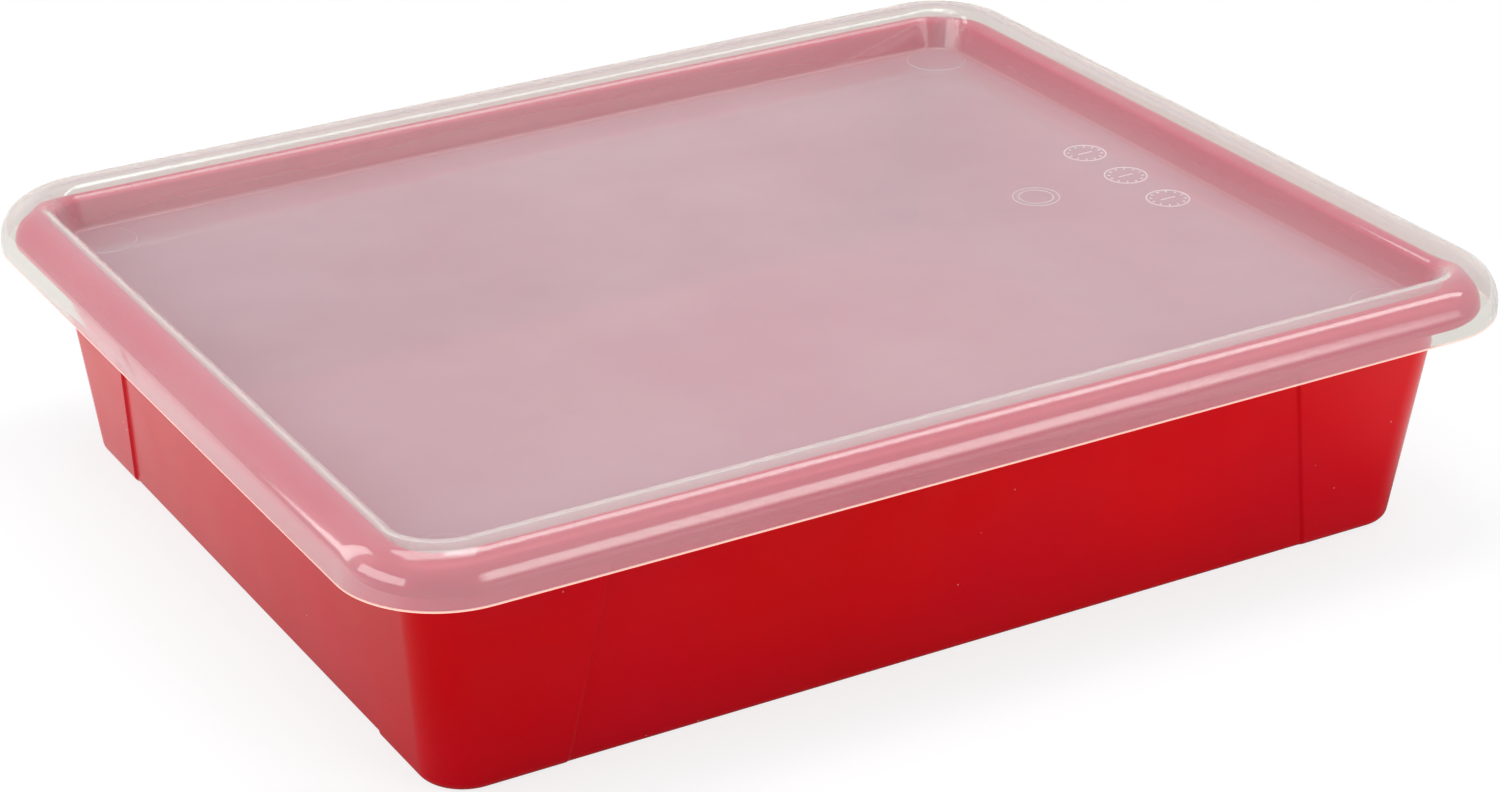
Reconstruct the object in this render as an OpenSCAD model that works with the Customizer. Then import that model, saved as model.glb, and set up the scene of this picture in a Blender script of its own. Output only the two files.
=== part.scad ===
// Art supply box: a flat, drafted tray with a rolled rim, and a lift-off lid whose rounded
// bead covers the rim and whose recessed panel plugs the mouth of the tray.
// Millimetres. +X runs along the long side, +Z is up, and the origin is the middle of the
// face that the tray rests on.

/* [Lid] */
// Length of the lid over its skirt
lid_l = 336.5; // [300:0.5:380]
// Width of the lid over its skirt
lid_w = 275; // [240:0.5:320]
// Corner radius of the lid, seen from above
lid_r = 27.6; // [27:0.1:32]
// Thickness of the lid
lid_t = 1.2; // [1:0.1:1.3]
// Height of the straight part of the skirt
skirt_h = 3; // [2:0.1:5]
// Outer radius of the bead, on its skirt side
bead_r = 10.3; // [10.2:0.1:10.5]
// Outer radius of the bead, on its panel side
bead_in_r = 5.7; // [5.6:0.1:5.9]
// Lean of the wall between the bead and the panel, in degrees
plug_lean = 16; // [14:0.5:18]
// Fillet where that wall meets the panel
panel_fillet = 1; // [0.5:0.1:1.5]
// Height of the top face of the panel above the bottom edge of the skirt
panel_rise = 0.5; // [0.2:0.1:1]

/* [Tray] */
// Height of the skirt's bottom edge above the ground, with the lid on
skirt_z = 62.5; // [60:0.5:90]
// Distance of the tray's foot inside the edge of the lid
foot_inset = 22.25; // [21.8:0.05:22.6]
// Draft of the tray walls, in degrees
draft = 6.5; // [6.3:0.1:6.7]
// Thickness of the tray walls
wall_t = 1.6; // [1.4:0.1:1.7]
// Thickness of the tray floor
floor_t = 2; // [1.5:0.1:4]
// Rounding of the tray's bottom edge
foot_r = 2.8; // [2:0.1:4]

/* [Tray rim] */
// Height of the rim's crest above the skirt's bottom edge
rim_rise = 8.5; // [8:0.1:8.6]
// Radius of the rim's quarter round
rim_r = 7.2; // [6.8:0.1:7.4]
// Distance of the rim's lip inside the edge of the lid
lip_inset = 4.4; // [4:0.1:6.2]
// Distance of the tray's mouth inside the edge of the lid
mouth_inset = 14.85; // [14.5:0.05:14.9]
// Rounding of the mouth's edge
mouth_r = 1.2; // [1:0.1:1.5]

/* [Wall panels] */
// Depth of the recessed panel in each wall
recess = 0.8; // [0:0.1:1.2]
// Length of wall left proud beyond a panel, at the foot
panel_margin = 35; // [25:1:50]
// Narrowing of a panel for each millimetre of height
panel_taper = 0.18; // [0:0.01:0.3]
// Width of the slope at the edge of a panel
recess_ramp = 1.2; // [0.8:0.1:3]
// Distance of the top of a panel below the skirt
panel_top_drop = 6; // [5:0.5:12]

/* [Moulded marks] */
// Height of the marks on the lid's panel
mark_h = 0.2; // [0.1:0.05:0.4]
// Width of the lines that the marks are drawn with
mark_line = 0.6; // [0.4:0.1:0.8]
// Diameter of the round pads in the panel's corners
pad_d = 18.6; // [10:0.1:19]
// Diameter of the three dials
dial_d = 12.8; // [8:0.1:16]
// Number of ticks in a dial
tick_count = 12; // [6:1:24]
// Length of a tick
tick_l = 1; // [0.5:0.1:2]
// Gap between the ticks and the dial's ring
tick_gap = 0.4; // [0.2:0.1:1]
// Length of the bar across a dial
bar_l = 5; // [3:0.1:8]
// Spacing of the three dials
dial_pitch = 20.3; // [17:0.1:26]
// Distance of the dials inside the edge of the lid
dial_inset = 34.4; // [30:0.1:40]
// Diameter of the gate's outer ring
gate_d = 14; // [12:0.1:16]
// Diameter of the gate's inner ring
gate_in_d = 10.5; // [6:0.1:11]
// Distance of the gate's rings inside the edge of the lid
gate_inset = 65.7; // [60:0.1:90]

/* [Smoothness] */
// Steps in each rounded corner of the tray
corner_steps = 9; // [6:1:12]
// Steps in each rounded edge of the tray
edge_steps = 5; // [4:1:8]

/* [Hidden] */
$fn = 96;

tray_color = "crimson";
lid_color = [0.93, 0.9, 0.88, 0.45];

// Lid section. Its first coordinate is the distance in from the edge, its second the height.
bead_c = [bead_r, skirt_z + skirt_h];
crest_z = bead_c[1] + bead_r;
bead_in_c = [bead_r, crest_z - bead_in_r];
panel_z = skirt_z + panel_rise;
plug_n = [cos(plug_lean), sin(plug_lean)];
plug_down = [sin(plug_lean), -cos(plug_lean)];
plug_top = bead_in_c + bead_in_r * plug_n;
plug_h = (plug_top[1] - panel_z - panel_fillet * (1 - sin(plug_lean))) / cos(plug_lean);
fillet_c = plug_top + plug_h * plug_down + panel_fillet * plug_n;
// The swept section reaches two laps into the panel, and the panel's plate starts after one
panel_lap = 1;

// Tray section, in the same coordinates
slope = tan(draft);
rim_z = skirt_z + rim_rise;
lip_z = rim_z - rim_r;
wall_top_inset = foot_inset - slope * skirt_z;
corner_r = lid_r - wall_top_inset;
recess_z = skirt_z - panel_top_drop;
// Height over which the top edge of a recessed panel slopes out
recess_fade = 1.5;
// Where the wall's outer face turns into the underside of the rim
throat_setback = 0.1;
throat = [mouth_inset - wall_t + throat_setback, rim_z - wall_t];
mouth_c = [mouth_inset - mouth_r, rim_z - mouth_r];
mouth_lean = atan((wall_top_inset + wall_t - mouth_inset) / (mouth_c[1] - skirt_z));
half = [lid_l / 2, lid_w / 2];

// Points along an arc around c
function arc(c, r, a0, a1, steps) =
    [for (i = [0 : steps]) let (a = a0 + (a1 - a0) * i / steps) c + r * [cos(a), sin(a)]];

// A ring of the lid section between two angles, around c
module arc_band(c, r_out, r_in, a0, a1) {
    far = 3 * r_out;
    mid = (a0 + a1) / 2;
    translate(c)
        intersection() {
            difference() {
                circle(r_out);
                circle(r_in);
            }
            polygon([[0, 0], for (a = [a0, mid, a1]) far * [cos(a), sin(a)]]);
        }
}

module lid_section() {
    translate([0, skirt_z])
        square([lid_t, skirt_h]);
    arc_band(bead_c, bead_r, bead_r - lid_t, 90, 180);
    arc_band(bead_in_c, bead_in_r, bead_in_r - lid_t, plug_lean, 90);
    polygon(concat(
        [plug_top],
        arc(fillet_c, panel_fillet, 180 + plug_lean, 270, edge_steps),
        [for (z = [panel_z, panel_z - lid_t]) [fillet_c[0] + 2 * panel_lap, z]],
        arc(fillet_c, panel_fillet + lid_t, 270, 180 + plug_lean, edge_steps),
        [plug_top - lid_t * plug_n]
    ));
}

// Runs the lid section round a rectangle with rounded corners
module lid_sweep() {
    for (mx = [0, 1], my = [0, 1])
        mirror([mx, 0, 0])
            mirror([0, my, 0])
                translate([half[0] - lid_r, half[1] - lid_r, 0])
                    rotate_extrude(angle = 90)
                        translate([lid_r, 0])
                            mirror([1, 0])
                                lid_section();
    for (side = [0 : 3])
        rotate(90 * side) {
            reach = side % 2 == 0 ? half[0] : half[1];
            run = 2 * ((side % 2 == 0 ? half[1] : half[0]) - lid_r);
            translate([reach, run / 2, 0])
                rotate([90, 0, 0])
                    linear_extrude(run)
                        mirror([1, 0])
                            lid_section();
        }
}

module rounded_plate(inset, z, h) {
    r = lid_r - inset;
    translate([0, 0, z])
        linear_extrude(h)
            union() {
                square([lid_l - 2 * lid_r, lid_w - 2 * inset], center = true);
                square([lid_l - 2 * inset, lid_w - 2 * lid_r], center = true);
                for (sx = [-1, 1], sy = [-1, 1])
                    translate([sx * (half[0] - lid_r), sy * (half[1] - lid_r)])
                        circle(r);
            }
}

module ring(d) {
    linear_extrude(mark_h)
        difference() {
            circle(d = d);
            circle(d = d - 2 * mark_line);
        }
}

// A round mould dial: a ring, short ticks inside it and a bar across the middle
module dial() {
    ring(dial_d);
    for (i = [0 : tick_count - 1])
        rotate(360 * i / tick_count)
            translate([dial_d / 2 - mark_line - tick_gap - tick_l, -mark_line / 2, 0])
                cube([tick_l, mark_line, mark_h]);
    translate([-bar_l / 2, -mark_line / 2, 0])
        cube([bar_l, mark_line, mark_h]);
}

module lid_marks() {
    pad_inset = fillet_c[0] + pad_d / 2;
    for (sx = [-1, 1], sy = [-1, 1])
        translate([sx * (half[0] - pad_inset), sy * (half[1] - pad_inset), 0])
            cylinder(h = mark_h, d = pad_d);
    for (i = [-1 : 1])
        translate([half[0] - dial_inset, i * dial_pitch, 0])
            dial();
    translate([half[0] - gate_inset, 0, 0]) {
        ring(gate_d);
        ring(gate_in_d);
    }
}

module lid() {
    color(lid_color)
        union() {
            lid_sweep();
            rounded_plate(fillet_c[0] + panel_lap, panel_z - lid_t, lid_t);
            translate([0, 0, panel_z])
                lid_marks();
        }
}

// One round of points: the outline of the tray at a level [inset, z, corner radius, recess]
function corner(c, r, a0) =
    [for (i = [0 : corner_steps]) c + r * [cos(a0 + 90 * i / corner_steps), sin(a0 + 90 * i / corner_steps)]];

function side(a, reach, panel, depth) = [
    for (p = [[reach, -panel - recess_ramp], [reach - depth, -panel], [reach - depth, panel], [reach, panel + recess_ramp]])
        [p[0] * cos(a) - p[1] * sin(a), p[0] * sin(a) + p[1] * cos(a)]
];

function outline(inset, r, depth, z) =
    let (
        h = [half[0] - inset, half[1] - inset],
        c = [h[0] - r, h[1] - r],
        foot = [half[0] - foot_inset, half[1] - foot_inset],
        narrow = panel_margin + panel_taper * z
    )
    concat(
        corner([c[0], -c[1]], r, -90), side(0, h[0], foot[1] - narrow, depth),
        corner(c, r, 0), side(90, h[1], foot[0] - narrow, depth),
        corner([-c[0], c[1]], r, 90), side(180, h[0], foot[1] - narrow, depth),
        corner([-c[0], -c[1]], r, 180), side(270, h[1], foot[0] - narrow, depth)
    );

function level(inset, z, r, depth = 0) = [for (p = outline(inset, r, depth, z)) [p[0], p[1], z]];

// Above the skirt's edge the tray's corners share their axis with the lid's
function rim_level(p) = level(p[0], p[1], lid_r - p[0]);

// A wall level, at a depth t inside the outer face
function wall_level(z, t, depth) = level(foot_inset - slope * z + t, z, corner_r - t, depth);

// The rounded edge between a flat at height z0 and the wall face at a depth t
function foot_levels(z0, r, t) =
    let (lean = (1 - sin(draft)) / cos(draft), wall_inset = foot_inset + t - slope * z0)
    [
        for (i = [0 : edge_steps])
            let (
                a = -90 + (90 - draft) * i / edge_steps,
                out = r * (cos(a) - lean),
                z = z0 + r * (1 + sin(a)),
                inside = slope * (z - z0) - out
            )
            level(wall_inset - out, z, corner_r - t - inside, recess * i / edge_steps)
    ];

function reversed(v) = [for (i = [len(v) - 1 : -1 : 0]) v[i]];

function tray_levels() =
    let (quarter_c = [lip_inset + rim_r, lip_z])
    concat(
        foot_levels(0, foot_r, 0),
        [
            wall_level(recess_z - recess_fade, 0, recess),
            wall_level(recess_z, 0, 0),
            wall_level(skirt_z, 0, 0),
            rim_level(throat)
        ],
        [for (p = arc(quarter_c, rim_r - wall_t, 90, 180, edge_steps)) rim_level(p)],
        [for (p = reversed(arc(quarter_c, rim_r, 90, 180, edge_steps))) rim_level(p)],
        [for (p = arc(mouth_c, mouth_r, 90, mouth_lean, edge_steps)) rim_level(p)],
        [
            wall_level(skirt_z, wall_t, 0),
            wall_level(recess_z, wall_t, 0),
            wall_level(recess_z - recess_fade, wall_t, recess)
        ],
        reversed(foot_levels(floor_t, foot_r, wall_t))
    );

module tray() {
    levels = tray_levels();
    n = len(levels[0]);
    last = len(levels) - 1;
    // Both flat faces start at a point in mid corner, so that no three points in a row line up
    start = floor(corner_steps / 2);
    ground_face = [for (i = [0 : n - 1]) (i + start) % n];
    floor_face = reversed([for (i = [0 : n - 1]) last * n + (i + start + 1) % n]);
    bands = [
        for (k = [0 : last - 1], i = [0 : n - 1])
            let (j = (i + 1) % n, a = k * n + i, b = k * n + j)
            each [[a, a + n, b + n], [a, b + n, b]]
    ];
    color(tray_color)
        polyhedron(points = [for (l = levels) each l], faces = concat([ground_face, floor_face], bands));
}

tray();
lid();
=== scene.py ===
"""Looks of an art supply box: a glossy red tray and its milky, see-through lid.

Both shells are fine meshes made from the same section as the frame's solids, and stand for them.
A section point is (inset from the lid's edge, height). Everything is in metres.
"""

import math

import bmesh
import bpy
from mathutils import Matrix, Vector, geometry


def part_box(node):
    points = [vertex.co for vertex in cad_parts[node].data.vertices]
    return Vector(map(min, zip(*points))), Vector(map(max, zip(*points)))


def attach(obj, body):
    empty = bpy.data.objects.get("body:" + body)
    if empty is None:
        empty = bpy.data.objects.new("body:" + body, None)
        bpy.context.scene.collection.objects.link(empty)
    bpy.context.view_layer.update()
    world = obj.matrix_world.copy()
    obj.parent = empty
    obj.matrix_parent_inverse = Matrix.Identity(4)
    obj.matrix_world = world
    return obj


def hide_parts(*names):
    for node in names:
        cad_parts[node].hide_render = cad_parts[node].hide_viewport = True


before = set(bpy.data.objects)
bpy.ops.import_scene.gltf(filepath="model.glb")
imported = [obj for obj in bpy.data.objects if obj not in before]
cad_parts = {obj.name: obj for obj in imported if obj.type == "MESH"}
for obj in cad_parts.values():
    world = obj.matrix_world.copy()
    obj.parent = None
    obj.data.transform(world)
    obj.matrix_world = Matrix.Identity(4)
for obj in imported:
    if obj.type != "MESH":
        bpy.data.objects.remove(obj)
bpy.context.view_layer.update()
MM = 0.001
LID_LOW, LID_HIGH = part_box("lid")
TRAY_LOW, TRAY_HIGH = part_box("tray")

# Lid
HALF = (LID_HIGH.x, LID_HIGH.y)
CREST_Z = LID_HIGH.z
LID_R = 27.6 * MM
LID_T = 1.2 * MM
PANEL_Z = LID_LOW.z + LID_T
PANEL_RISE = 0.5 * MM
SKIRT_Z = PANEL_Z - PANEL_RISE
BEAD_R = 10.3 * MM
BEAD_IN_R = 5.7 * MM
PLUG_LEAN = 16
PANEL_FILLET = 1.0 * MM

# Tray
RIM_Z = TRAY_HIGH.z
LIP_INSET = HALF[0] - TRAY_HIGH.x
FOOT_INSET = 22.25 * MM
DRAFT = 6.5
WALL_T = 1.6 * MM
FLOOR_T = 2.0 * MM
FOOT_R = 2.8 * MM
RIM_R = 7.2 * MM
LIP_LEAN = 6
MOUTH_INSET = 14.85 * MM
MOUTH_R = 1.2 * MM
THROAT_SETBACK = 0.1 * MM
SLOPE = math.tan(math.radians(DRAFT))
WALL_TOP_INSET = FOOT_INSET - SLOPE * SKIRT_Z
CORNER_R = LID_R - WALL_TOP_INSET

# Recessed panels in the tray's walls
RECESS = 0.8 * MM
PANEL_MARGIN = 35 * MM
PANEL_TAPER = 0.18
RAMP = 1.2 * MM
PANEL_TOP_Z = SKIRT_Z - 6 * MM
PANEL_FADE = 1.5 * MM

# Marks moulded on the lid; the pads and the gate ring are only faintly frosted
MARK_H = 0.2 * MM
MARK_SLOPE = 0.12 * MM
LINE_W = 0.6 * MM
PAD_R = 9.3 * MM
PAD_LINE = 0.25 * MM
PAD_GAP = 0.3 * MM
DIAL_R = 6.4 * MM
TICKS = 12
TICK_R = 4.9 * MM
TICK_L = 1.0 * MM
BAR_L = 5.0 * MM
DIAL_PITCH = 20.3 * MM
DIAL_INSET = 34.4 * MM
GATE_R = 7.0 * MM
GATE_IN_R = 5.25 * MM
GATE_INSET = 65.7 * MM
FAINT = 0.5

# Both plastics
PLASTIC_IOR = 1.49

# Tray plastic: its tones at the left and right ends, a painted shade and a painted light that make the
# right end lighter; the dimmer crimson of its low parts, painted shade for the dim floor that they mirror,
# and of its clouds; and its tones of its dust, of its mirror images, of the light that it throws on farther
# things, and of what the lid covers
TRAY_DIM_AND_LIT_TONES = ((0.51, 0.0005, 0.002, 1), (0.79, 0.002, 0.004, 1))
TRAY_CRIMSON = (0.58, 0.001, 0.014, 1)
TRAY_DUST = (0.85, 0.62, 0.60, 1)
TRAY_GLARE = (1.0, 0.25, 0.28, 1)
TRAY_BOUNCE = (0.50, 0.22, 0.23, 1)
TRAY_THROUGH = (0.66, 0.02, 0.085, 1)

# Lid plastic: the tint of its mirror images, how milky and how frosted it is, its milky tones, and
# its tint in shadows. Its milk changes between the two insets, and its skirt ends in a pale edge,
# milkier and with a painted glow that stands in for the highlight on its rounded rim
LID_CLEAR = (0.98, 0.97, 0.97, 1)
LID_GLARE = (0.78, 1.0, 0.95, 1)
PANEL_HAZE = 0.42
BEAD_HAZE = 0.17
HAZE_INSETS = (20 * MM, 15 * MM)
FROST = 0.20
EDGE_HAZE = 0.75
PANEL_TONE = (0.76, 0.77, 0.79, 1)
BEAD_TONE = (0.90, 0.90, 0.87, 1)
EDGE_TONE_AND_GLOW = (1.0, 0.66, 0.55, 1)
EDGE_PAINTED_GLOW = 0.45
EDGE_INSET = 14 * MM
LID_SHADOW = (0.90, 0.88, 0.89, 1)

# Room: its dim tone, the bright sweep behind the box, how much whiter the floor looks to the
# camera, and the floor's tone behind the lid
ROOM_COLOR = (0.28, 0.29, 0.30, 1)
SWEEP_LOW = (0.88, 0.82, 0.76, 1)
SWEEP_HIGH = (0.52, 0.53, 0.62, 1)
FLOOR_LIFT = 0.75
FLOOR_THROUGH = (0.73, 0.76, 0.67, 1)
FLOOR_R = 6.0

# Camera: its place round the origin, the way it looks, and its lens
CAMERA_AZIMUTH = -29.99
CAMERA_ELEVATION = 26.76
CAMERA_DISTANCE = 1.0421
LOOK_AZIMUTH = 27.31
LOOK_DOWN = 23.37
ROLL = -1.48
LENS = 88.70
SHIFT = (0.1219, -0.0909)

# Fineness of the meshes
CIRCLE_STEPS = 72
CORNER_STEPS = 24
FOOT_STEPS = 12
SIDE_STEPS = 14
ARC_STEP = 4.0
RAMP_STEPS = 6
MERGE = 1e-7


# ---------------------------------------------------------------- meshes

def polar(angle):
    """Unit vector at an angle in degrees."""
    return Vector((math.cos(math.radians(angle)), math.sin(math.radians(angle))))


def arc(centre, radius, start, end):
    """Section points along an arc, in even steps of about ARC_STEP degrees."""
    steps = max(3, round(abs(end - start) / ARC_STEP))
    return [Vector(centre) + radius * polar(start + (end - start) * i / steps) for i in range(steps + 1)]


def smooth(t):
    """Eases from 0 to 1 as t does."""
    return t * t * (3 - 2 * t)


def even_side(run, foot_half, z):
    """A side rule: evenly spaced points along a straight side, as (place, depth) pairs."""
    return [(run * (2 * i / SIDE_STEPS - 1), 0.0) for i in range(1, SIDE_STEPS)]


def recessed_side(depth):
    """A side rule with a panel sunk by depth in the middle of the side, behind smooth ramps."""
    def rule(run, foot_half, z):
        half = foot_half - PANEL_MARGIN - PANEL_TAPER * z
        ramp = []
        for i in range(RAMP_STEPS + 1):
            t = i / RAMP_STEPS
            ramp.append((half + RAMP * (1 - t), depth * smooth(t)))
        middle = [(half * (1 - 2 * i / SIDE_STEPS), depth) for i in range(1, SIDE_STEPS)]
        mirrored = [(-place, d) for place, d in reversed(ramp)]
        return list(reversed(ramp + middle + mirrored))

    return rule


def outline(inset, radius, z, side_rule):
    """One round of 3-D points: a rectangle with rounded corners, inset inside the lid's edge."""
    points = []
    for quarter in range(4):
        turn = Matrix.Rotation(math.radians(90 * quarter), 2)
        reach = HALF[quarter % 2] - inset
        run = HALF[1 - quarter % 2] - inset - radius
        foot_half = HALF[1 - quarter % 2] - FOOT_INSET
        centre = turn @ Vector((reach - radius, -run))
        for i in range(CORNER_STEPS + 1):
            angle = 90 * quarter - 90 + 90 * i / CORNER_STEPS
            points.append((centre + radius * polar(angle)).to_3d() + Vector((0, 0, z)))
        for place, depth in side_rule(run, foot_half, z):
            points.append((turn @ Vector((reach - depth, place))).to_3d() + Vector((0, 0, z)))
    return points


def new_mesh():
    """An empty bmesh whose points can be frosted."""
    mesh = bmesh.new()
    mesh.verts.layers.float.new("frost")
    return mesh


def sweep(mesh, rings):
    """Joins rings of points with quads. Returns the rings' vertices."""
    loops = [[mesh.verts.new(p) for p in ring] for ring in rings]
    for low, high in zip(loops, loops[1:]):
        for i in range(len(low)):
            j = (i + 1) % len(low)
            mesh.faces.new((low[i], low[j], high[j], high[i]))
    return loops


def fill(mesh, ring, features, up):
    """Closes a flat ring. A feature is a closed loop of 2-D points, its height and its frosting."""
    z = ring[0].co.z
    frost = mesh.verts.layers.float["frost"]
    points = [v.co.to_2d() for v in ring]
    traits = [(0.0, 0.0)] * len(ring)
    edges = [(i, (i + 1) % len(ring)) for i in range(len(ring))]
    for loop, height, whiteness in features:
        first = len(points)
        points += loop
        traits += [(height, whiteness)] * len(loop)
        edges += [(first + i, first + (i + 1) % len(loop)) for i in range(len(loop))]
    made = geometry.delaunay_2d_cdt(points, edges, [], 1, MERGE)
    verts = []
    for place, origins in zip(made[0], made[3]):
        if origins and origins[0] < len(ring):
            verts.append(ring[origins[0]])
        else:
            height, whiteness = traits[origins[0]] if origins else (0.0, 0.0)
            verts.append(mesh.verts.new((place.x, place.y, z + height)))
            verts[-1][frost] = whiteness
    for face in made[2]:
        mesh.faces.new([verts[i] for i in (face if up else reversed(face))])


def finish_piece(mesh, name, body, node, material):
    """Turns a bmesh into a smooth piece that rides on a body and stands for a CAD node."""
    bmesh.ops.recalc_face_normals(mesh, faces=mesh.faces)
    data = bpy.data.meshes.new(name)
    mesh.to_mesh(data)
    mesh.free()
    data.shade_smooth()
    data.materials.append(material)
    piece = bpy.data.objects.new(name, data)
    bpy.context.scene.collection.objects.link(piece)
    normals = piece.modifiers.new("even_normals", "WEIGHTED_NORMAL")
    normals.weight = 100
    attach(piece, body)
    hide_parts(node)
    return piece


# ---------------------------------------------------------------- lid

def circle(centre, radius, height, whiteness):
    """A round feature for fill."""
    points = [Vector(centre) + radius * polar(360 * i / CIRCLE_STEPS) for i in range(CIRCLE_STEPS)]
    return points, height, whiteness


def ridge(centre, angle, length):
    """A short straight ridge: its foot and its narrower, frosted top."""
    loops = []
    for height, shrink, whiteness in ((0.0, 0.0, 0.0), (MARK_H, MARK_SLOPE, 1.0)):
        x, y = length / 2 - shrink, LINE_W / 2 - shrink
        turn = Matrix.Rotation(math.radians(angle), 2)
        corners = [Vector(c) for c in ((-x, -y), (x, -y), (x, y), (-x, y))]
        loops.append(([Vector(centre) + turn @ c for c in corners], height, whiteness))
    return loops


def round_ridge(centre, radius, whiteness=1.0):
    """A ring-shaped ridge with sloping sides and a frosted top."""
    inner = radius - LINE_W
    return [
        circle(centre, radius, 0.0, 0.0),
        circle(centre, radius - MARK_SLOPE, MARK_H, whiteness),
        circle(centre, inner + MARK_SLOPE, MARK_H, whiteness),
        circle(centre, inner, 0.0, 0.0),
    ]


def pad(centre):
    """A flat round pad with a faintly frosted outline."""
    return [
        circle(centre, PAD_R, 0.0, 0.0),
        circle(centre, PAD_R - MARK_SLOPE, MARK_H, FAINT),
        circle(centre, PAD_R - MARK_SLOPE - PAD_LINE, MARK_H, 0.0),
    ]


def dial(centre):
    """A mould dial: a ring, ticks inside it and a bar across the middle."""
    loops = round_ridge(centre, DIAL_R)
    for i in range(TICKS):
        angle = 360 * i / TICKS
        loops += ridge(Vector(centre) + TICK_R * polar(angle), angle, TICK_L)
    return loops + ridge(centre, 0, BAR_L)


def lid_section():
    """Points of the lid's section, from the panel over the bead and back below, and the panel's inset."""
    bead = Vector((BEAD_R, CREST_Z - BEAD_R))
    bead_in = Vector((BEAD_R, CREST_Z - BEAD_IN_R))
    out = polar(PLUG_LEAN)
    down = Vector((out.y, -out.x))
    top = bead_in + BEAD_IN_R * out
    drop = (top.y - PANEL_Z - PANEL_FILLET * (1 - out.y)) / out.x
    fillet = top + drop * down + PANEL_FILLET * out
    edge = Vector((LID_T / 2, SKIRT_Z + LID_T / 2))
    points = arc(fillet, PANEL_FILLET, 270, 180 + PLUG_LEAN)
    points += arc(bead_in, BEAD_IN_R, PLUG_LEAN, 90)
    points += arc(bead, BEAD_R, 90, 180)[1:]
    points += arc(edge, LID_T / 2, 180, 360)
    points += arc(bead, BEAD_R - LID_T, 180, 90)
    points += arc(bead_in, BEAD_IN_R - LID_T, 90, PLUG_LEAN)[1:]
    points += arc(fillet, PANEL_FILLET + LID_T, 180 + PLUG_LEAN, 270)
    return points, fillet.x


def build_lid(material):
    """The lid's shell, with the marks on top of its panel."""
    points, panel_inset = lid_section()
    mesh = new_mesh()
    loops = sweep(mesh, [outline(p.x, LID_R - p.x, p.y, even_side) for p in points])
    pad_inset = panel_inset + PAD_R + PAD_GAP
    features = []
    for side_x in (-1, 1):
        for side_y in (-1, 1):
            centre = (side_x * (HALF[0] - pad_inset), side_y * (HALF[1] - pad_inset))
            features += pad(centre)
    for place in (-1, 0, 1):
        features += dial((HALF[0] - DIAL_INSET, place * DIAL_PITCH))
    gate = (HALF[0] - GATE_INSET, 0)
    features += round_ridge(gate, GATE_R, FAINT) + round_ridge(gate, GATE_IN_R, FAINT)
    fill(mesh, loops[0], features, up=True)
    fill(mesh, loops[-1], [], up=False)
    return finish_piece(mesh, "lid_shell", "lid", "lid", material)


# ---------------------------------------------------------------- tray

def wall_ring(z, depth_in, recess):
    """A ring of a wall's face at height z, depth_in behind the outer face."""
    return outline(FOOT_INSET - SLOPE * z + depth_in, CORNER_R - depth_in, z, recessed_side(recess))


def foot_rings(floor_z, radius, depth_in):
    """Rings of the rounding between a flat at floor_z and a wall's face."""
    lean = (1 - math.sin(math.radians(DRAFT))) / math.cos(math.radians(DRAFT))
    wall_inset = FOOT_INSET + depth_in - SLOPE * floor_z
    rings = []
    for i in range(FOOT_STEPS + 1):
        across, rise = polar(-90 + (90 - DRAFT) * i / FOOT_STEPS)
        out = radius * (across - lean)
        z = floor_z + radius * (1 + rise)
        inside = SLOPE * (z - floor_z) - out
        rule = recessed_side(RECESS * i / FOOT_STEPS)
        rings.append(outline(wall_inset - out, CORNER_R - depth_in - inside, z, rule))
    return rings


def rim_ring(point):
    """A ring of the rim through a section point."""
    return outline(point.x, LID_R - point.x, point.y, recessed_side(0.0))


def tray_rings():
    """Rings up the outer face, round the rim and its lip, and down the inner face to the floor."""
    quarter = Vector((LIP_INSET + RIM_R, RIM_Z - RIM_R))
    mouth = Vector((MOUTH_INSET - MOUTH_R, RIM_Z - MOUTH_R))
    wall_inner = WALL_TOP_INSET + WALL_T
    lean = math.degrees(math.atan((wall_inner - MOUTH_INSET) / (mouth.y - SKIRT_Z)))
    throat = Vector((MOUTH_INSET - WALL_T + THROAT_SETBACK, RIM_Z - WALL_T))
    lip = Vector((LIP_INSET + WALL_T / 2, quarter.y + WALL_T / 2))
    shares = [i / RAMP_STEPS for i in range(RAMP_STEPS + 1)]
    fade = [(PANEL_TOP_Z - PANEL_FADE * (1 - t), RECESS * (1 - smooth(t))) for t in shares]
    rings = foot_rings(0.0, FOOT_R, 0.0)
    rings += [wall_ring(z, 0.0, depth) for z, depth in fade]
    rings.append(wall_ring(SKIRT_Z, 0.0, 0.0))
    rings.append(rim_ring(throat))
    rings += [rim_ring(p) for p in arc(quarter, RIM_R - WALL_T, 90, 180 - LIP_LEAN)]
    rings += [rim_ring(p) for p in arc(lip, WALL_T / 2, 360 - LIP_LEAN, 180 + LIP_LEAN)]
    rings += [rim_ring(p) for p in arc(quarter, RIM_R, 180 - LIP_LEAN, 90)]
    rings += [rim_ring(p) for p in arc(mouth, MOUTH_R, 90, lean)]
    rings.append(wall_ring(SKIRT_Z, WALL_T, 0.0))
    rings += [wall_ring(z, WALL_T, depth) for z, depth in reversed(fade)]
    rings += reversed(foot_rings(FLOOR_T, FOOT_R, WALL_T))
    return rings


def build_tray(material):
    """The tray's shell, closed below and on its floor."""
    mesh = new_mesh()
    loops = sweep(mesh, tray_rings())
    fill(mesh, loops[0], [], up=False)
    fill(mesh, loops[-1], [], up=True)
    return finish_piece(mesh, "tray_shell", "tray", "tray", material)


# ---------------------------------------------------------------- materials

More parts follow.
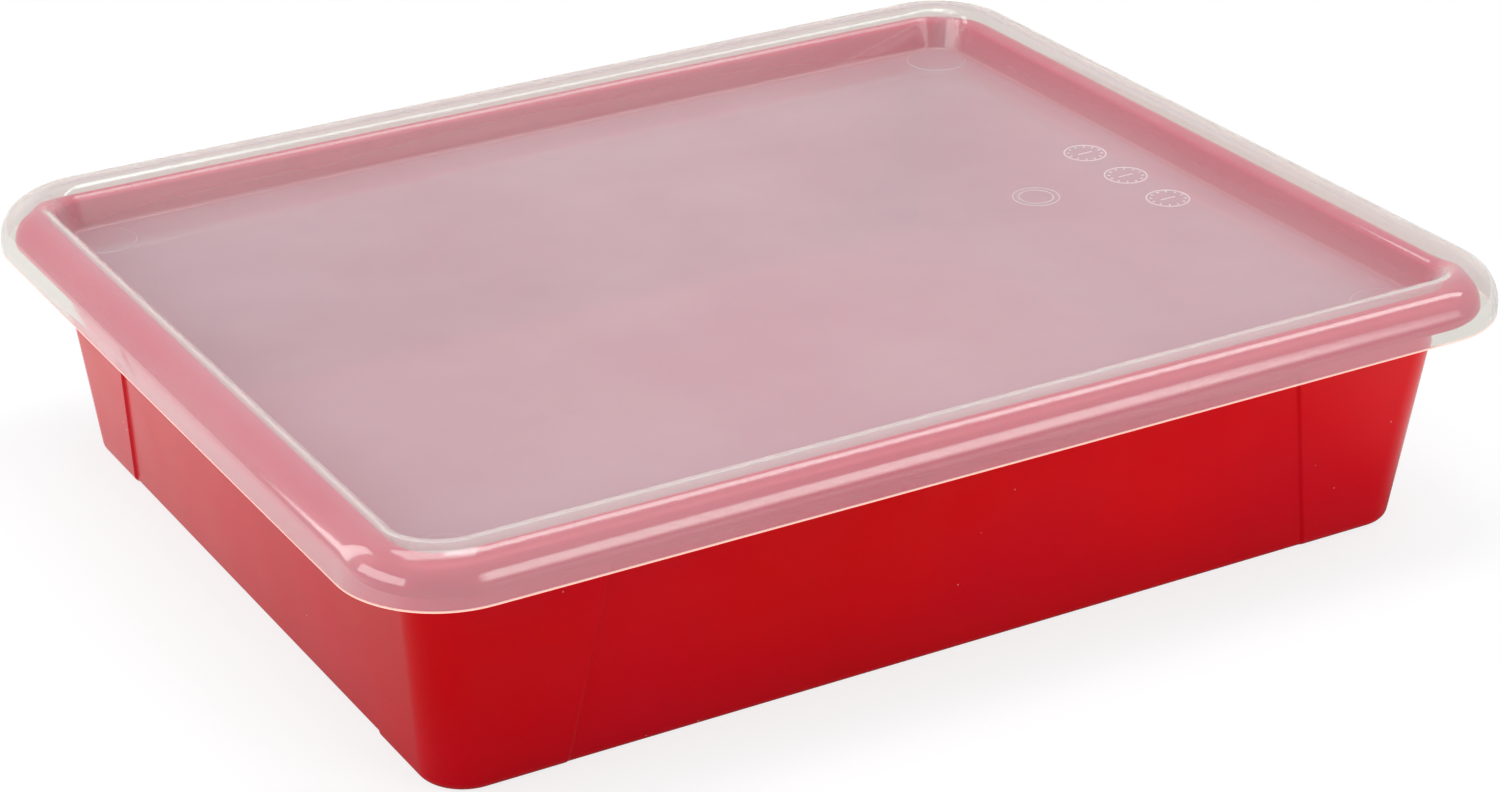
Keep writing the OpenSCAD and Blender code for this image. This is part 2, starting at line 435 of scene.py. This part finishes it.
class Shader:
    """A material's node tree, with short calls to add and join nodes."""

    def __init__(self, name):
        self.material = bpy.data.materials.new(name)
        self.material.use_nodes = True
        self.tree = self.material.node_tree
        self.tree.nodes.clear()

    @classmethod
    def of_tree(cls, tree):
        """Shader calls for the node tree of a light or a world."""
        shader = cls.__new__(cls)
        shader.tree = tree
        tree.nodes.clear()
        return shader

    def add(self, kind, inputs=None, **settings):
        node = self.tree.nodes.new(kind)
        for key, value in settings.items():
            setattr(node, key, value)
        for key, value in (inputs or {}).items():
            self.feed(node.inputs[key], value)
        return node

    def feed(self, socket, value):
        if isinstance(value, bpy.types.NodeSocket):
            self.tree.links.new(value, socket)
        else:
            socket.default_value = value

    def coords(self):
        return self.add("ShaderNodeTexCoord").outputs["Object"]

    def noise(self, scale, detail=2.0, vector=None):
        inputs = {"Scale": scale, "Detail": detail, "Vector": vector or self.coords()}
        return self.add("ShaderNodeTexNoise", inputs).outputs["Fac"]

    def span(self, value, low, high, to_low, to_high):
        inputs = {"Value": value, 1: low, 2: high, 3: to_low, 4: to_high}
        return self.add("ShaderNodeMapRange", inputs).outputs["Result"]

    def math(self, operation, a, b=0.0):
        return self.add("ShaderNodeMath", {0: a, 1: b}, operation=operation).outputs[0]

    def blend(self, factor, a, b):
        node = self.add("ShaderNodeMix", {0: factor, 6: a, 7: b}, data_type="RGBA")
        return node.outputs[2]

    def bump(self, height, distance, strength=1.0, normal=None):
        inputs = {"Height": height, "Distance": distance, "Strength": strength}
        if normal is not None:
            inputs["Normal"] = normal
        return self.add("ShaderNodeBump", inputs).outputs["Normal"]

    def specks(self, scale, size, vector=None):
        """Small round dots, one in some cells of a cell pattern: 1 inside a dot."""
        inputs = {"Scale": scale, "Vector": vector or self.coords()}
        cells = self.add("ShaderNodeTexVoronoi", inputs)
        return self.math("LESS_THAN", cells.outputs["Distance"], size)

    def output(self, surface):
        self.add("ShaderNodeOutputMaterial", {"Surface": surface})
        return self.material


def tray_plastic():
    """Glossy red polypropylene with a faint moulding texture, cloudy tone and a little dust. Painted light
    makes its right end lighter, and painted shade makes its low parts a dimmer crimson.

    Light that bounces off it onto farther things is greyer, so that its inside is not all pink.
    """
    s = Shader("red_polypropylene")
    path = s.add("ShaderNodeLightPath")
    spot = s.add("ShaderNodeSeparateXYZ", {0: s.coords()})
    # Painted light: the tray is a lighter red towards its right end, where more light falls on it
    painted_light_right = s.span(spot.outputs["X"], -0.16, 0.16, 0.0, 0.7)
    clouds = s.span(s.noise(9.0, 3.0), 0.25, 0.75, 0.0, 0.3)
    tone = s.blend(s.math("ADD", painted_light_right, clouds), TRAY_DIM_AND_LIT_TONES[0], TRAY_DIM_AND_LIT_TONES[1])
    # Painted shade: a dimmer crimson towards the bottom, for the dim floor that the low walls mirror; noise
    # adds crimson clouds
    low = s.span(spot.outputs["Z"], 10 * MM, 42 * MM, 0.45, 0.0)
    crimson = s.math("ADD", low, s.span(s.noise(13.0, 3.0), 0.40, 0.64, -0.15, 0.35))
    tone = s.blend(crimson, tone, TRAY_CRIMSON)
    dust = s.math("MULTIPLY", s.specks(160.0, 0.042), s.math("GREATER_THAN", s.noise(28.0, 1.0), 0.60))
    color = s.blend(s.math("MULTIPLY", dust, 0.35), tone, TRAY_DUST)
    far = s.span(path.outputs["Ray Length"], 6 * MM, 20 * MM, 0.0, 1.0)
    color = s.blend(s.math("MULTIPLY", path.outputs["Is Diffuse Ray"], far), color, TRAY_BOUNCE)
    color = s.blend(path.outputs["Is Transmission Ray"], color, TRAY_THROUGH)
    grain = s.bump(s.noise(2600.0, 2.0), 0.02 * MM, 0.35)
    peel = s.bump(s.noise(320.0, 2.0), 0.05 * MM, 0.25, grain)
    waves = s.bump(s.noise(22.0, 1.0), 0.6 * MM, 0.25, peel)
    body = s.add("ShaderNodeBsdfPrincipled", {
        "Base Color": color,
        "Roughness": s.span(s.noise(60.0, 4.0), 0.3, 0.7, 0.17, 0.25),
        "IOR": PLASTIC_IOR,
        "Specular Tint": TRAY_GLARE,
        "Normal": waves,
    })
    return s.output(body.outputs[0])


def lid_zones(s):
    """Two masks of the lid: 1 on the bead and 0 on the panel, and EDGE_HAZE on the skirt's edge."""
    spot = s.add("ShaderNodeSeparateXYZ", {0: s.coords()})
    beyond = [
        s.math("SUBTRACT", s.math("ABSOLUTE", spot.outputs[axis]), half)
        for axis, half in zip("XY", HALF)
    ]
    nearer = s.math("MAXIMUM", *beyond)
    bead = s.span(nearer, -HAZE_INSETS[0], -HAZE_INSETS[1], 0.0, 1.0)
    low = s.span(spot.outputs["Z"], SKIRT_Z + 0.25 * MM, SKIRT_Z + 0.55 * MM, EDGE_HAZE, 0.0)
    edge = s.math("MULTIPLY", low, s.math("GREATER_THAN", nearer, -EDGE_INSET))
    return bead, edge


def lid_clear(s):
    """The clear part of the lid's plastic, with faint flow and drag waves."""
    stretched = s.add("ShaderNodeVectorMath", {0: s.coords(), 1: (0.02, 0.02, 1.0)}, operation="MULTIPLY")
    drag = s.bump(s.noise(260.0, 1.0, stretched.outputs["Vector"]), 0.3 * MM, 0.06)
    flow = s.bump(s.noise(14.0, 2.0), 0.5 * MM, 0.2, drag)
    return s.add("ShaderNodeBsdfPrincipled", {
        "Base Color": LID_CLEAR,
        "Roughness": s.span(s.noise(40.0, 3.0), 0.3, 0.7, 0.03, 0.06),
        "IOR": PLASTIC_IOR,
        "Specular Tint": LID_GLARE,
        "Transmission Weight": 1.0,
        "Normal": flow,
    })


def lid_haze(s, bead, edge):
    """How milky the lid is: cloudy, with small scuffs, and most of all at the skirt's edge."""
    haze = s.span(bead, 0.0, 1.0, PANEL_HAZE, BEAD_HAZE)
    haze = s.math("MULTIPLY", haze, s.span(s.noise(12.0, 3.0), 0.3, 0.7, 0.88, 1.12))
    haze = s.math("ADD", haze, s.math("MULTIPLY", s.specks(420.0, 0.05), 0.06))
    return s.math("MAXIMUM", haze, edge)


def lid_plastic():
    """Clear polypropylene with a milky haze: light and shadows pass it, the eye sees it refract."""
    s = Shader("milky_polypropylene")
    bead, edge = lid_zones(s)
    at_edge = s.math("GREATER_THAN", edge, 0.3)
    tone = s.blend(at_edge, s.blend(bead, PANEL_TONE, BEAD_TONE), EDGE_TONE_AND_GLOW)
    milk = s.add("ShaderNodeMixShader", {
        0: 0.4,
        1: s.add("ShaderNodeBsdfDiffuse", {"Color": tone}).outputs[0],
        2: s.add("ShaderNodeBsdfTranslucent", {"Color": tone}).outputs[0],
    })
    clear = lid_clear(s)
    haze = lid_haze(s, bead, edge)
    body = s.add("ShaderNodeMixShader", {0: haze, 1: clear.outputs[0], 2: milk.outputs[0]})
    frost = s.add("ShaderNodeAttribute", attribute_name="frost").outputs["Fac"]
    relief = s.add("ShaderNodeBsdfDiffuse", {"Color": s.math("MULTIPLY", frost, FROST)})
    # Painted highlight: the skirt's rounded edge glows in the edge colour, for the light caught by its rim
    strength = s.math("MULTIPLY", at_edge, EDGE_PAINTED_GLOW)
    glow = s.add("ShaderNodeEmission", {"Color": EDGE_TONE_AND_GLOW, "Strength": strength})
    body = s.add("ShaderNodeAddShader", {0: body.outputs[0], 1: relief.outputs[0]})
    body = s.add("ShaderNodeAddShader", {0: body.outputs[0], 1: glow.outputs[0]})
    path = s.add("ShaderNodeLightPath")
    passing = s.add("ShaderNodeBsdfTransparent", {"Color": LID_SHADOW})
    indirect = s.math("MAXIMUM", path.outputs["Is Shadow Ray"], path.outputs["Is Diffuse Ray"])
    mixed = s.add("ShaderNodeMixShader", {0: indirect, 1: body.outputs[0], 2: passing.outputs[0]})
    return s.output(mixed.outputs[0])


def floor_material():
    """Pale studio paper, nearly white. In mirror images it is painted light and shade, darker in front and
    brighter behind and to the right, and it is beige where it is seen through the lid.
    """
    s = Shader("studio_paper")
    path = s.add("ShaderNodeLightPath")
    paper = s.add("ShaderNodeBsdfPrincipled", {
        "Base Color": s.blend(s.noise(3.0, 3.0), (0.86, 0.86, 0.86, 1), (0.89, 0.89, 0.885, 1)),
        "Roughness": 0.9,
        "Specular IOR Level": 0.1,
        "Normal": s.bump(s.noise(900.0, 2.0), 0.05 * MM, 0.2),
    })
    lift = s.add("ShaderNodeEmission", {"Strength": 1.05})
    white = s.math("MULTIPLY", path.outputs["Is Camera Ray"], FLOOR_LIFT)
    seen = s.add("ShaderNodeMixShader", {0: white, 1: paper.outputs[0], 2: lift.outputs[0]})
    # Painted light and shade: in mirror images the floor glows, dim in front near the box and bright behind
    # it and to its right
    spot = s.add("ShaderNodeSeparateXYZ", {0: s.coords()})
    behind = s.span(spot.outputs["Y"], -0.13, 0.16, 0.12, 1.0)
    beside = s.span(spot.outputs["X"], 0.14, 0.19, 0.0, 0.8)
    mirrored = s.add("ShaderNodeEmission", {"Strength": s.math("MAXIMUM", behind, beside)})
    mirror = s.math("SUBTRACT", path.outputs["Is Glossy Ray"], path.outputs["Is Transmission Ray"])
    surface = s.add("ShaderNodeMixShader", {0: mirror, 1: seen.outputs[0], 2: mirrored.outputs[0]})
    behind_lid = s.add("ShaderNodeEmission", {"Color": FLOOR_THROUGH})
    through = s.math("MULTIPLY", path.outputs["Is Transmission Ray"], 0.8)
    surface = s.add("ShaderNodeMixShader", {0: through, 1: surface.outputs[0], 2: behind_lid.outputs[0]})
    return s.output(surface.outputs[0])


# ---------------------------------------------------------------- studio

def build_floor():
    """A large pale disc of paper."""
    mesh = bmesh.new()
    bmesh.ops.create_circle(mesh, cap_ends=True, segments=96, radius=FLOOR_R)
    data = bpy.data.meshes.new("floor")
    mesh.to_mesh(data)
    mesh.free()
    data.materials.append(floor_material())
    floor = bpy.data.objects.new("floor", data)
    bpy.context.scene.collection.objects.link(floor)


def direction(azimuth, elevation):
    """Unit vector; azimuth 0 is +Y and 90 is +X, in degrees."""
    a, e = math.radians(azimuth), math.radians(elevation)
    return Vector((math.sin(a) * math.cos(e), math.cos(a) * math.cos(e), math.sin(e)))


def softbox(name, place, upright, size, radiance, fade=0.0):
    """A rectangular light that faces the box; its height runs along upright, and its rim fades."""
    data = bpy.data.lights.new(name, "AREA")
    data.shape = "RECTANGLE"
    data.size, data.size_y = size
    data.energy = radiance * math.pi * size[0] * size[1]
    up = Vector(upright).normalized()
    back = (Vector(place) - up * Vector(place).dot(up)).normalized()
    right = up.cross(back)
    light = bpy.data.objects.new(name, data)
    light.matrix_world = Matrix.Translation(place) @ Matrix((right, up, back)).transposed().to_4x4()
    bpy.context.scene.collection.objects.link(light)
    if fade:
        fade_light(data, fade)


def fade_light(data, fade):
    """Dims a rectangular light towards its rim, over a share of its half width and height."""
    data.use_nodes = True
    s = Shader.of_tree(data.node_tree)
    spot = s.add("ShaderNodeSeparateXYZ", {0: s.add("ShaderNodeNewGeometry").outputs["Parametric"]})
    level = 1.0
    for axis in ("X", "Y"):
        off = s.math("ABSOLUTE", s.math("SUBTRACT", spot.outputs[axis], 0.5))
        level = s.math("MULTIPLY", level, s.span(off, 0.5 - 0.5 * fade, 0.5, 1.0, 0.0))
    glow = s.add("ShaderNodeEmission", {"Strength": level})
    s.add("ShaderNodeOutputLight", {0: glow.outputs[0]})


def build_lights():
    """Two boxes overhead, turned alike, and three that stand round the box."""
    along = (1.57, -0.5, 0.0)
    softbox("overhead_strip", (0.56, -0.11, 1.0), along, (0.19, 1.25), 5.8)
    softbox("overhead_box", (-0.12, 0.07, 1.0), along, (0.42, 0.68), 4.2)
    softbox("left_box", 1.3 * direction(-96, 20), (0, 0, 1), (1.05, 0.40), 4.3)
    softbox("right_box", 1.5 * direction(156, 23), (0, 0, 1), (1.1, 0.70), 4.9, fade=0.5)
    softbox("back_left_box", (-0.889, 0.712, 0.72), (0, 0, 1), (0.38, 1.1), 4.3, fade=0.15)


def build_world():
    """White for the camera. In light and mirror images, a dim room with a bright sweep at the back."""
    world = bpy.data.worlds.new("studio")
    world.use_nodes = True
    s = Shader.of_tree(world.node_tree)
    ray = s.add("ShaderNodeTexCoord").outputs["Generated"]
    facing = s.add("ShaderNodeVectorMath", {0: ray, 1: direction(LOOK_AZIMUTH, 0)}, operation="DOT_PRODUCT")
    height = s.add("ShaderNodeSeparateXYZ", {0: ray}).outputs["Z"]
    sweep_level = s.math(
        "MULTIPLY",
        s.span(facing.outputs["Value"], 0.6, 0.85, 0.0, 1.0),
        s.span(height, 0.45, 0.7, 1.0, 0.0),
    )
    sweep = s.blend(s.span(height, 0.25, 0.40, 0.0, 1.0), SWEEP_LOW, SWEEP_HIGH)
    room = s.blend(sweep_level, ROOM_COLOR, sweep)
    path = s.add("ShaderNodeLightPath")
    tone = s.blend(path.outputs["Is Camera Ray"], room, (1, 1, 1, 1))
    s.add("ShaderNodeOutputWorld", {0: s.add("ShaderNodeBackground", {"Color": tone}).outputs[0]})
    bpy.context.scene.world = world


def build_camera():
    """The camera at the photograph's angle."""
    data = bpy.data.cameras.new("camera")
    data.lens = LENS
    data.sensor_width = 36.0
    data.shift_x, data.shift_y = SHIFT
    data.clip_start = 0.05
    data.clip_end = 50.0
    camera = bpy.data.objects.new("camera", data)
    flat = CAMERA_DISTANCE * math.cos(math.radians(CAMERA_ELEVATION))
    azimuth = math.radians(CAMERA_AZIMUTH)
    height = CAMERA_DISTANCE * math.sin(math.radians(CAMERA_ELEVATION))
    camera.location = (flat * math.sin(azimuth), -flat * math.cos(azimuth), height)
    turn = Matrix.Rotation(math.radians(-LOOK_AZIMUTH), 3, "Z")
    tilt = Matrix.Rotation(math.radians(90 - LOOK_DOWN), 3, "X")
    roll = Matrix.Rotation(math.radians(ROLL), 3, "Z")
    camera.rotation_mode = "QUATERNION"
    camera.rotation_quaternion = (turn @ tilt @ roll).to_quaternion()
    bpy.context.scene.collection.objects.link(camera)
    bpy.context.scene.camera = camera


def set_look():
    """Plain colour output, and enough bounces for light to cross the lid's walls."""
    scene = bpy.context.scene
    scene.view_settings.view_transform = "Standard"
    scene.cycles.max_bounces = 24
    scene.cycles.transmission_bounces = 20
    scene.cycles.glossy_bounces = 8
    scene.cycles.diffuse_bounces = 4
    scene.cycles.transparent_max_bounces = 24
    scene.cycles.sample_clamp_indirect = 6.0
    scene.cycles.use_denoising = True


build_tray(tray_plastic())
build_lid(lid_plastic())
build_floor()
build_lights()
build_world()
build_camera()
set_look()
